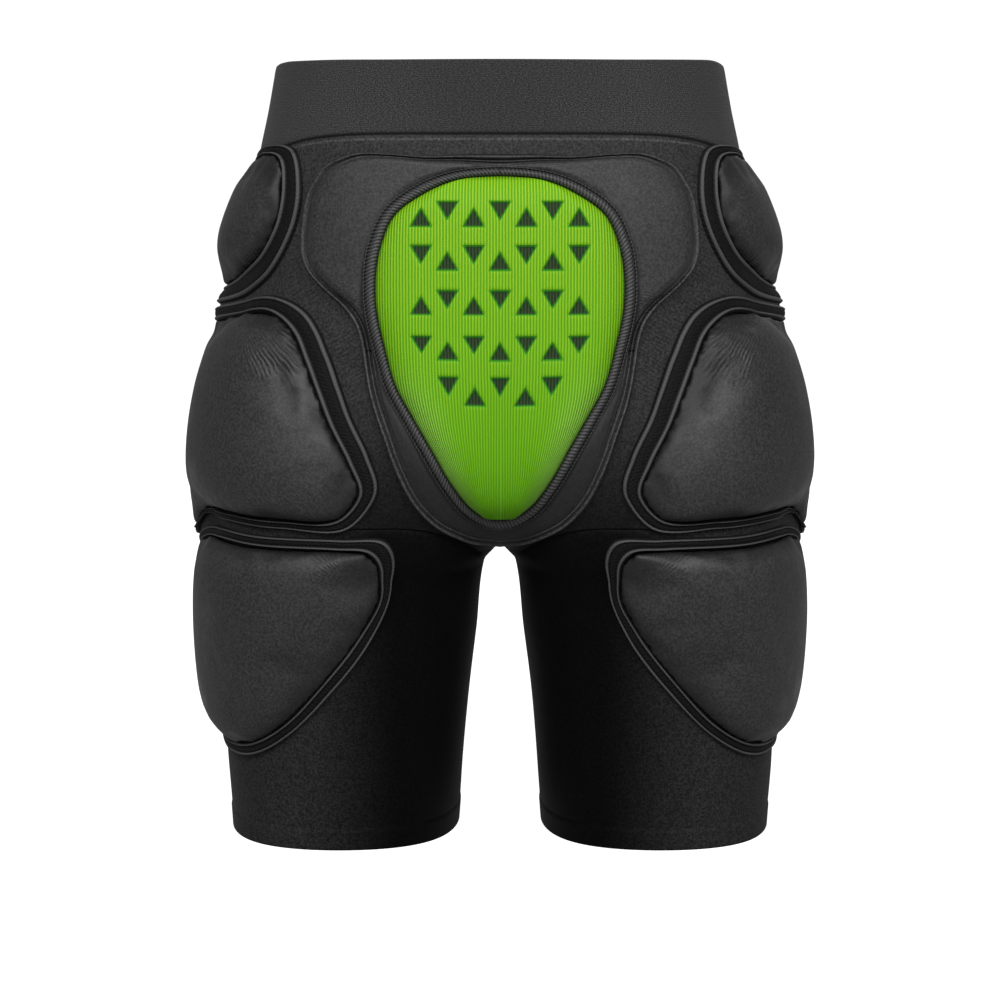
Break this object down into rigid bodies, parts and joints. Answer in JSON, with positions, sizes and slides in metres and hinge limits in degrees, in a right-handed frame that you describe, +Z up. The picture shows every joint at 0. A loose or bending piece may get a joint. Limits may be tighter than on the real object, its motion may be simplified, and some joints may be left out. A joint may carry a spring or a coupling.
{
  "type": "padded impact shorts",
  "caption": "Close-fitting black shorts with wide elastic waist, foam impact pads at the hips, thighs and seat, and a green mesh tailbone pad with triangular vents.",
  "frame": {"origin": "on the floor under the middle of the shorts, level with the hem edges", "axes": "+Z up to the waist; +Y the way the wearer faces, so the seat and tailbone pad face -Y; +X to the wearer's right"},
  "size_m": [0.3814, 0.229, 0.467],
  "materials": {
    "stretch_fabric": "plain black stretch knit, matt with a faint sheen",
    "pad_cover": "smooth charcoal knit laminated on foam, soft satin",
    "flange_fabric": "black knit, coarsely stitched edge",
    "waist_elastic": "heather charcoal woven elastic, rough",
    "waist_lining": "black brushed elastic backing",
    "hem_tape": "black folded hem",
    "black_foam": "closed-cell foam, matt",
    "green_foam": "closed-cell foam, matt",
    "green_mesh": "fine ribbed sport mesh, slightly shiny",
    "binding_tape": "grey-black textured binding"
  },
  "bodies": {
    "hips": {"waistband": "waist_elastic", "waistband_lining": "waist_lining", "waist_seam_tape": "hem_tape", "seat_pad_cover": "pad_cover", "seat_pad_foam": "black_foam", "seat_crescent_panel": "stretch_fabric", "tailbone_foam": "green_foam", "tailbone_mesh": "green_mesh", "tailbone_binding": "binding_tape", "back_panel_right": "stretch_fabric", "back_panel_left": "stretch_fabric", "front_panel_right": "stretch_fabric", "front_panel_left": "stretch_fabric", "hip_pad_cover_right": "pad_cover", "hip_pad_cover_left": "pad_cover", "hip_pad_foam_right": "black_foam", "hip_pad_foam_left": "black_foam", "hip_pad_flange_right": "flange_fabric", "hip_pad_flange_left": "flange_fabric", "thigh_pad_cover_right": "pad_cover", "thigh_pad_cover_left": "pad_cover", "thigh_pad_foam_right": "black_foam", "thigh_pad_foam_left": "black_foam", "thigh_pad_flange_right": "flange_fabric", "thigh_pad_flange_left": "flange_fabric", "leg_flex_band_right": "stretch_fabric", "leg_flex_band_left": "stretch_fabric"},
    "leg_right": {"leg_back_panel_right": "stretch_fabric", "leg_front_panel_right": "stretch_fabric", "leg_hem_right": "hem_tape", "lower_pad_cover_right": "pad_cover", "lower_pad_foam_right": "black_foam", "lower_pad_flange_right": "flange_fabric"},
    "leg_left": {"leg_back_panel_left": "stretch_fabric", "leg_front_panel_left": "stretch_fabric", "leg_hem_left": "hem_tape", "lower_pad_cover_left": "pad_cover", "lower_pad_foam_left": "black_foam", "lower_pad_flange_left": "flange_fabric"}
  },
  "joints": [
    {"name": "right_leg_swing", "type": "hinge", "parent": "hips", "child": "leg_right", "pos_m": [0.091, 0.02647, 0.19], "axis": [1, 0, 0], "range_deg": [0, 30], "stiffness_Nm_per_rad": 1.5, "springref_deg": -5.73, "deforming": ["leg_flex_band_right"]},
    {"name": "left_leg_swing", "type": "hinge", "parent": "hips", "child": "leg_left", "pos_m": [-0.091, 0.02647, 0.19], "axis": [1, 0, 0], "range_deg": [0, 30], "stiffness_Nm_per_rad": 1.5, "springref_deg": -5.73, "deforming": ["leg_flex_band_left"]}
  ]
}
